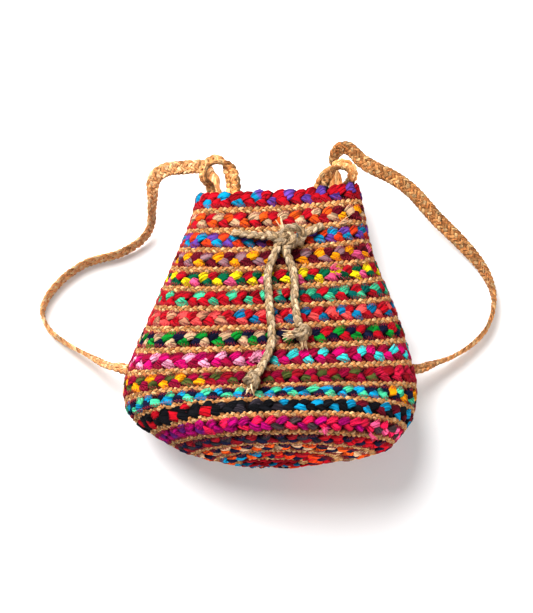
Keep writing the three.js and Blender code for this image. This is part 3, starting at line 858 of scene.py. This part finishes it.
# %% Smooth lines
def smooth_line(points, samples):
    """A rounded curve through points, the same kind as the solids use."""
    points = np.asarray(points, float)
    padded = np.vstack([2 * points[0] - points[1], points, 2 * points[-1] - points[-2]])
    line = []
    for share in np.linspace(0, len(points) - 1, samples):
        row = min(int(share), len(points) - 2)
        t = share - row
        before, start, end, after = padded[row : row + 4]
        gaps = [max(np.linalg.norm(gap) ** 0.5, 1e-4) for gap in (start - before, end - start, after - end)]
        leave = (start - before) / gaps[0] - (end - before) / (gaps[0] + gaps[1]) + (end - start) / gaps[1]
        arrive = (end - start) / gaps[1] - (after - start) / (gaps[1] + gaps[2]) + (after - end) / gaps[2]
        leave, arrive = leave * gaps[1], arrive * gaps[1]
        bends = leave * t * (1 - t) ** 2 + arrive * t * t * (t - 1)
        line.append(start + (end - start) * smooth_step(t) + bends)
    return np.array(line)


# %% Shoulder straps
STRAP_ROOTS = (15, 15.8)
STRAP_LANDING = 7.15
INSIDE_SEAT = -(JUTE_HALF + STRAP_THICK / 2 + 1.4)
# Each point of a strap is x, y, z and its lean in degrees.
LEFT_STRAP = (
    (-65, 180, 18, 0), (-65, 190, 20, 6), (-68, 198, 24, 10), (-75, 201, 28, 14), (-84, 200, 31, 14),
    (-98.5, 197, 34, 12), (-117, 193, 36, 14), (-129, 184, 33, 30), (-131, 160, 26, 60), (-133, 134, 16, 75),
    (-141, 121, 11.5, 84), (-165, 105, 9, 88), (-202, 93, 8.4, 88), (-228, 73, 8.4, 88), (-244, 49, 8.4, 88),
    (-247, 34, 8.4, 88), (-239, 15, 8.4, 88), (-219, -2, 9, 82), (-194, -18, 16, 66), (-173, -33, 27, 50),
)
RIGHT_STRAP = (
    (71, 180, 18.5, 2), (71, 192, 21, -22), (69, 205, 27, -56), (70, 214, 32, -56), (77, 219.6, 37, -54),
    (85.5, 217, 41, -52), (91.5, 210, 43, -48), (98.5, 201, 44, -38), (107, 195, 43, -27),
    (119, 189, 41, -21), (133, 183, 38, -20), (153, 169, 34, -20), (180, 141, 23, -28), (206, 116, 15, -42),
    (228, 89, 10.5, -66), (239, 64, 8.6, -84), (240, 44, 8.4, -88), (232, 18, 8.4, -88), (215, -2, 8.8, -84),
    (192, -18, 12, -70), (169, -29, 19, -52),
)
STRAP_PLAIT = Plait(
    strands=5, period=25.0, swing=0.74, dip=0.9, width=0.3, thick=3.0, folds=0.03, loose=0.06, darkest=0.45
)
# Paler straw for the left strap, which faces the lamp: a painted highlight.
PAINTED_HIGHLIGHT_DYES = ((248, 190, 132), (232, 164, 106), (254, 212, 162))
# The place around the bag and the lean at the root of a strap, then at its landing.
STRAPS = {
    "left": (LEFT_STRAP, 0.106, -13, 0.23, (40, 30)),
    "right": (RIGHT_STRAP, 0.894, 14, 0.78, (-40, -30)),
}
# Left strap: highlight dyes and a strong painted light gain; right strap: its own jute dyes and a smaller
# gain.
STRAP_DYES_AND_HIGHLIGHTS, STRAP_PAINTED_LIGHT = {"left": PAINTED_HIGHLIGHT_DYES, "right": JUTE_DYES}, {"left": 1.9, "right": 1.3}
STRAP_COMB, STRAP_SAMPLES = 50, 900


def strap_ribbon(table, root_around, root_lean, landing_around, landing_leans):
    """Line of a strap from the inside of the back to the side; its leans tip it from flat to upright."""
    root = [off_wall(np.float64(root_around), turn, INSIDE_SEAT) for turn in STRAP_ROOTS]
    approach, seat = 16, JUTE_HALF + SEAM_GAP + 0.7
    landing = [off_wall(np.float64(landing_around), STRAP_LANDING, height) for height in (approach, seat)]
    route = np.vstack([root, [row[:3] for row in table], landing])
    leans = np.radians([root_lean, root_lean, *[row[3] for row in table], *landing_leans])
    line = smooth_line(route, STRAP_SAMPLES)
    tangents = unit(np.gradient(line, axis=0))
    marks = np.linspace(0, STRAP_SAMPLES - 1, len(route)).round().astype(int)
    level = unit(np.cross(tangents[marks], [0, 0, 1]))
    upright = np.cross(level, tangents[marks])
    widths = level * np.cos(leans)[:, None] + upright * np.sin(leans)[:, None]
    return Ribbon(line, smooth_line(widths, STRAP_SAMPLES), STRAP_WIDTH)


def fibre_piece(name, slot, node, ribbon, plait, dyes, drift, comb=0.0, painted_light=1.0):
    bundle = Bundle()
    fibre_plait(bundle, ribbon, plait, dyes, drift, comb, painted_light)
    return settle(bundle.make(name, jute), slot, node)


for side, route in STRAPS.items():
    strap_line = strap_ribbon(*route)
    strap = fibre_piece(
        f"strap_plait_{side}", "jute", f"shoulder_strap_{side}", strap_line, STRAP_PLAIT,
        STRAP_DYES_AND_HIGHLIGHTS[side], JUTE_DRIFT, STRAP_COMB, STRAP_PAINTED_LIGHT[side],
    )
    print(strap.name, "length:", round(strap_line.length))

# %% Top loops
# Places around the bag of the outer and inner foot, inset at the corner, side, and points of the arch.
TOP_LOOPS = {
    "left": (
        0.3, 0.415, 0.3, 1,
        ((-74, 172, 60), (-71, 184, 65), (-60, 189, 68), (-48, 182, 66), (-42, 169, 61)),
    ),
    "right": (
        0.686, 0.562, 1.7, -1,
        ((88, 174, 60), (84.5, 182, 64), (74, 184, 66), (63, 177, 64), (56, 167, 60)),
    ),
}
CROWN_SHARES = (0.2, 0.6, 1.0, 0.6, 0.2)
CROWN_ACROSS, CROWN_DOWN, CROWN_RISE = 0.4, -0.85, 0.4
LOOP_ROOTS = (15.5, 16.6)
LOOP_PLAIT = Plait(
    strands=4, period=24.0, swing=0.68, dip=1.2, width=0.36, thick=4.6, folds=0.03, loose=0.06, darkest=0.4
)
# The loops' painted shade is raised by a painted light gain.
LOOP_PAINTED_LIGHT, LOOP_SAMPLES, LOOP_STEP = 1.5, 300, 0.01


def loop_leg(around, seat, side):
    """Two places up the inside of the front, with the direction of the loop's width at each."""
    around = np.float64(around)
    places = [off_wall(around, turn, seat) for turn in LOOP_ROOTS]
    before, after = around - LOOP_STEP, around + LOOP_STEP
    along = [wall_point(after, turn) - wall_point(before, turn) for turn in LOOP_ROOTS]
    return places, list(unit(np.array(along)) * side)


def loop_ribbon(outer, inner, corner_inset, side, arch):
    """Line of a loop: up the inside of the front, over the crown and down again, flat on the wall below."""
    outer_places, outer_widths = loop_leg(outer, INSIDE_SEAT - corner_inset, side)
    inner_places, inner_widths = loop_leg(inner, INSIDE_SEAT, side)
    crown = np.array([CROWN_ACROSS * side, CROWN_DOWN, CROWN_RISE])
    near_legs = (outer_widths[1], outer_widths[1], inner_widths[1], inner_widths[1], inner_widths[1])
    over = [near * (1 - share) + crown * share for near, share in zip(near_legs, CROWN_SHARES)]
    route = [*outer_places, *arch, *inner_places[::-1]]
    widths = [*outer_widths, *over, *inner_widths[::-1]]
    return Ribbon(smooth_line(route, LOOP_SAMPLES), smooth_line(widths, LOOP_SAMPLES), STRAP_WIDTH)


for side, shape in TOP_LOOPS.items():
    loop_line = loop_ribbon(*shape)
    loop = fibre_piece(
        f"loop_plait_{side}", "jute", f"top_loop_{side}", loop_line, LOOP_PLAIT,
        JUTE_DYES, JUTE_DRIFT, painted_light=LOOP_PAINTED_LIGHT,
    )
    print(loop.name, "length:", round(loop_line.length))

# %% [markdown]
# ## The drawstring
# A paler rope, plaited round. It runs inside the mouth, comes out of the front at two holes, and is tied
# in one fat knot. Its two tails lie on the front panel and end in knots of their own, with loose fibres.

# %% Rope
ROPE_PLAIT = Plait(
    period=23.0, swing=0.44, dip=1.4, width=0.5, thick=4.2, step=1.6, sides=10, loose=0.1, darkest=0.12
)
ROPE_DYES = ((226, 194, 154), (204, 170, 128), (236, 208, 172))
ROPE_DRIFT, ROPE_SAMPLES = 0.14, 900
ROPE_LIFT = RAG_HALF + ROPE_WIDTH / 2 + 0.4
ROPE_INSIDE = -(RAG_HALF + ROPE_WIDTH / 2 + 0.6)
# Place across, turn of the hole, and turn where the rope meets the knot.
HOLES = {"left": (-44.0, 14.18, 13.85), "right": (50.0, 14.5, 14.0)}
HOLE_APPROACH, HOLE_LEAN, HOLE_CLEAR, INSIDE_POINTS = 9, 1, 10, 15
KNOT_PLACE, KNOT_LIFT, KNOT_REACH = (10.8, 13.7), 13.4, 19
UPWARD = (0, 0, 1)


def rope_ribbon(points, samples, up, width=ROPE_WIDTH):
    """A ribbon along a rope that keeps one side towards a direction."""
    line = smooth_line(points, samples)
    tangents = unit(np.gradient(line, axis=0))
    across = np.empty_like(line)
    level = np.cross(up, tangents[0])
    for row, tangent in enumerate(tangents):
        level = unit(level - tangent * np.dot(level, tangent))
        across[row] = level
    return Ribbon(line, across, width)


def hole_points(across, turn, knot_turn, inward):
    """From beside the knot, over the front panel and in through a hole."""
    return [
        on_front(KNOT_PLACE[0] - inward * KNOT_REACH, knot_turn, ROPE_LIFT + 1),
        on_front(across + inward * HOLE_APPROACH, (turn + knot_turn) / 2, ROPE_LIFT),
        on_front(across + inward * HOLE_LEAN, turn, RAG_HALF),
        on_front(across, turn, -RAG_HALF),
    ]


def drawstring_points():
    """In through the left hole, round the inside of the back, and out through the right hole."""
    left, right = HOLES["left"], HOLES["right"]
    start = around_on_front(left[0] - HOLE_CLEAR, left[1])
    end = around_on_front(right[0] + HOLE_CLEAR, right[1])
    shares = np.linspace(0, 1, INSIDE_POINTS)
    around = (start - shares * (start + 1 - end) + 1) % 1
    inside = off_wall(around, left[1] + (right[1] - left[1]) * shares, ROPE_INSIDE)
    return np.array([*hole_points(*left, 1), *inside, *hole_points(*right, -1)[::-1]])


rope_line = rope_ribbon(drawstring_points(), ROPE_SAMPLES, UPWARD)
rope = fibre_piece("drawstring_rope", "rope", "drawstring", rope_line, ROPE_PLAIT, ROPE_DYES, ROPE_DRIFT)
print(rope.name, "length:", round(rope_line.length))

# %% [markdown]
# ## Loose fibres
# The cut end of a rope opens into fibres, and a torn rag into threads. Each is a thin tube of a few rings
# that tapers to its tip, with a direction, a bend and a length drawn at random, so that no two are alike.

# %% Tufts
FIBRE_RINGS, FIBRE_TAPER, FIBRE_BEND, ROOT_SCATTER = 5, 0.75, 0.15, 1.2
FIBRE_LENGTHS, FIBRE_SHADES = (0.6, 1.0), (0.8, 1.1)
FIBRE_CORNERS = np.array([(1, 0), (0, 1), (-1, 0), (0, -1)])
FIBRE_LEVEL = (0.3, 0.2, 1.0)


def tuft(bundle, start, towards, count, spread, dyes=ROPE_DYES, thick=1.7):
    """Fibres that fan out from one place."""
    shares = np.linspace(0, 1, FIBRE_RINGS)
    length = np.linalg.norm(towards)
    radius = thick * (1 - FIBRE_TAPER * shares)
    for _ in range(count):
        way = towards * rng.uniform(*FIBRE_LENGTHS) + rng.normal(0, spread * length, 3)
        bend = rng.normal(0, FIBRE_BEND * length, 3)
        root = start + rng.normal(0, ROOT_SCATTER, 3)
        line = root + shares[:, None] * way + (shares**2)[:, None] * bend
        side = unit(np.cross(way, FIBRE_LEVEL))
        up = unit(np.cross(side, way))
        ring = FIBRE_CORNERS[:, :1] * side + FIBRE_CORNERS[:, 1:] * up
        rings = line[:, None] + ring[None] * radius[:, None, None]
        dye_and_shade = linear(dyes[rng.integers(len(dyes))]) * rng.uniform(*FIBRE_SHADES)
        bundle.add_tube(rings, dye_and_shade, shares * length)


# %% [markdown]
# ## Knots
# An overhand knot pulled tight lies like a trefoil, a curve with three lobes that crosses itself. Each
# knot is two wraps of rope on such a line, the second smaller, turned and a little higher, so that it
# looks packed.

# %% Knots
# Size, roll and lift of each wrap.
KNOT_WRAPS = ((1.0, 0.0, 0.0), (0.6, 0.9, 1.0))
KNOT_POINTS, KNOT_SAMPLES, KNOT_STRAND = 26, 500, 0.44
loose_bundle = Bundle()


def knot_line(wide, tall, deep):
    """The line of one wrap, in its own plane."""
    t = np.linspace(0, 2 * np.pi, KNOT_POINTS)
    x = (np.sin(t) + 2 * np.sin(2 * t)) / 3
    y = (np.cos(t) - 2 * np.cos(2 * t)) / 3
    return np.stack([x * wide, y * tall, -np.sin(3 * t) * deep], axis=1)


def knot_piece(name, node, place, shape, tilt, rope_width, tufts):
    across, turn, lift = place
    centre = on_front(across, turn, lift)
    normal = unit(on_front(across, turn, lift + 1) - centre)
    level = unit(np.array([1.0, 0, 0]) - normal * normal[0])
    upward = np.cross(normal, level)
    plait = Plait(
        period=20.0, swing=0.48, dip=1.6, width=0.48, thick=KNOT_STRAND * rope_width, step=1.6,
        loose=0.12, darkest=0.85,
    )
    bundle = Bundle()
    for size, roll, lifted in KNOT_WRAPS:
        line = knot_line(*shape) * size
        wide = level * np.cos(tilt + roll) + upward * np.sin(tilt + roll)
        tall = np.cross(normal, wide)
        points = centre + line[:, :1] * wide + line[:, 1:2] * tall + (line[:, 2:] + lifted) * normal
        wrap = rope_ribbon(points, KNOT_SAMPLES, normal, rope_width)
        fibre_plait(bundle, wrap, plait, ROPE_DYES, ROPE_DRIFT)
    for towards, count, spread in tufts:
        tuft(loose_bundle, centre, np.array(towards, float), count, spread)
    return settle(bundle.make(name, jute), "rope", node)


knot_piece(
    "drawstring_knot_rope", "drawstring_knot", place=(*KNOT_PLACE, KNOT_LIFT), shape=(20.0, 12.5, 6.5),
    tilt=0.1, rope_width=10.0, tufts=(((-5, 18, 5), 5, 0.05),),
)
knot_piece(
    "tail_knot_rope_left", "tail_knot_left", place=(-26.0, 6.3, 12.1), shape=(6.0, 7.0, 4.0),
    tilt=0.5, rope_width=8.6, tufts=(((-1, -17, -6), 44, 0.09),),
)
knot_piece(
    "tail_knot_rope_right", "tail_knot_right", place=(24.7, 8.93, 12.1), shape=(7.5, 6.0, 4.0),
    tilt=0.2, rope_width=8.6, tufts=(((-18, -3, -2), 40, 0.06), ((2, -13, -4), 36, 0.12)),
)
settle(loose_bundle.make("loose_rope_ends", fibre.material), "rope")
print("loose fibres:", len(loose_bundle.points))

# %% [markdown]
# ## Tails
# The two ends of the drawstring hang from its knot over the front panel. Each is a limp cord, plaited along
# a smooth line through points on the panel.

# %% Tails
TAIL_SAMPLES, PATH_EVERY = 240, 8
TAILS = {
    "left": (
        (3.0, 13.3, 5), (-1.6, 12.84, 3), (-6.5, 12.4, 0), (-8.6, 11.8, 0), (-7.9, 10.8, 0), (-6.4, 9.7, 0),
        (-5.6, 8.86, 0), (-7.6, 8.28, 0), (-11.7, 7.79, 0), (-18.3, 7.13, 0.5), (-22.6, 6.72, 2.5),
    ),
    "right": (
        (11.0, 13.3, 5), (12.4, 12.84, 3), (16, 12.4, 0), (18.7, 11.8, 0), (18.5, 10.83, 0), (19.1, 10.2, 0),
        (20.7, 9.6, 0.5), (22.8, 9.25, 2.5),
    ),
}
for side, rows in TAILS.items():
    points = np.array([on_front(float(across), turn, ROPE_LIFT + extra) for across, turn, extra in rows])
    ribbon = rope_ribbon(points, TAIL_SAMPLES, UPWARD)
    tail = fibre_piece(
        f"tail_rope_{side}", "rope", f"tail_{side}", ribbon, ROPE_PLAIT, ROPE_DYES, ROPE_DRIFT
    )
    path = to_frame(ribbon.points[::PATH_EVERY])

# %% [markdown]
# ## Frayed ends
# Where two rags are pieced together, a few threads stick out of the row: small tufts in the rag's dye.

# %% Frayed ends
FRAY_FIBRES, FRAY_SPREAD, FRAY_THICK, FRAY_LIFT = 12, 0.22, 0.8, 0.6
FRAYED = (
    (-27.0, 7.8, "pale pink", (13, 3, 1)), (-20.0, 7.9, "pale pink", (8, -3, 0)),
    (60.0, 9.9, "coral", (-3, 8, 1)), (58.0, 12.3, "pink", (5, 4, 1)), (63.0, 12.1, "pink", (6, -3, 0)),
    (70.0, 14.65, "cream", (9, 6, 1)), (40.0, 3.8, "pink", (4, -4, -2)), (87.0, 3.7, "pink", (5, -4, -3)),
    (18.0, 14.5, "cream", (8, -5, 0)),
)
frayed_bundle = Bundle()
for across, turn, name, towards in FRAYED:
    start = on_front(across, turn, RAG_HALF + FRAY_LIFT)
    tuft(frayed_bundle, start, np.array(towards, float), FRAY_FIBRES, FRAY_SPREAD, (DYES[name],), FRAY_THICK)
settle(frayed_bundle.make("frayed_rag_ends", fibre.material), "rag_red")
print("frayed ends:", len(FRAYED))

# %% [markdown]
# ## Floor, light and camera
# The bag lies on a white table under one large soft lamp from the upper left, with white all around and a
# small lamp in front to fill the shadows. The table glows a little, because a white one in a photo is
# nearly burnt out. The camera looks down at the bag with a long lens.

# %% Floor
FLOOR_SIZE, FLOOR_DROP, FLOOR_GLOW = 6, 0.0005, 0.16
FLOOR_WHITE, WHITE = (0.8, 0.8, 0.8, 1), (1, 1, 1, 1)
bpy.ops.object.select_all(action="DESELECT")
bpy.ops.mesh.primitive_plane_add(size=FLOOR_SIZE, location=(0, 0, -FLOOR_DROP))
floor = bpy.context.object
floor.name = "table_top"
floor_look = {"Base Color": FLOOR_WHITE, "Emission Color": WHITE, "Emission Strength": FLOOR_GLOW}
floor.data.materials.append(Finish("white_table", {**MATT, **floor_look}).material)
print("floor size in metres:", FLOOR_SIZE)

# %% Lamps
ROOM_LIGHT = 0.2


def soft_lamp(name, place, size, power, target=(0, 0, 0.05)):
    lamp = bpy.data.lights.new(name, "AREA")
    lamp.shape, lamp.size, lamp.energy = "DISK", size, power
    body = bpy.data.objects.new(name, lamp)
    body.location = place
    body.rotation_euler = (Vector(target) - Vector(place)).to_track_quat("-Z", "Y").to_euler()
    bpy.context.collection.objects.link(body)
    return body


soft_lamp("key_lamp", place=(-0.8, 0.95, 1.6), size=1.9, power=84)
soft_lamp("front_fill", place=(1.2, -1.2, 0.7), size=1.0, power=15)
world = bpy.data.worlds.new("white_room")
world.use_nodes = True
room = world.node_tree.nodes["Background"].inputs
room["Color"].default_value = WHITE
room["Strength"].default_value = ROOM_LIGHT
bpy.context.scene.world = world
view = bpy.context.scene.view_settings
view.view_transform = "Standard"
view.exposure = 0.22
view.gamma = 0.88
print("lamps:", len(bpy.data.lights))

# %% Camera
IMAGE_HEIGHT, FOCAL_PIXELS = 613, 1566
SENSOR = 36
CAMERA_DISTANCE = 1.7
ELEVATION = np.radians(67)
LOOK_AT = np.array([-5.5, 45.0, 0.0])
target = Vector(to_frame(LOOK_AT))
camera_data = bpy.data.cameras.new("camera")
camera_data.sensor_width = SENSOR
camera_data.lens = SENSOR * FOCAL_PIXELS / IMAGE_HEIGHT
camera = bpy.data.objects.new("camera", camera_data)
camera.location = target + CAMERA_DISTANCE * Vector((0, -np.cos(ELEVATION), np.sin(ELEVATION)))
camera.rotation_euler = (target - camera.location).to_track_quat("-Z", "Y").to_euler()
bpy.context.collection.objects.link(camera)
bpy.context.scene.camera = camera
print("lens in millimetres:", round(camera_data.lens, 1))

# %% Update the view layer
bpy.context.view_layer.update()
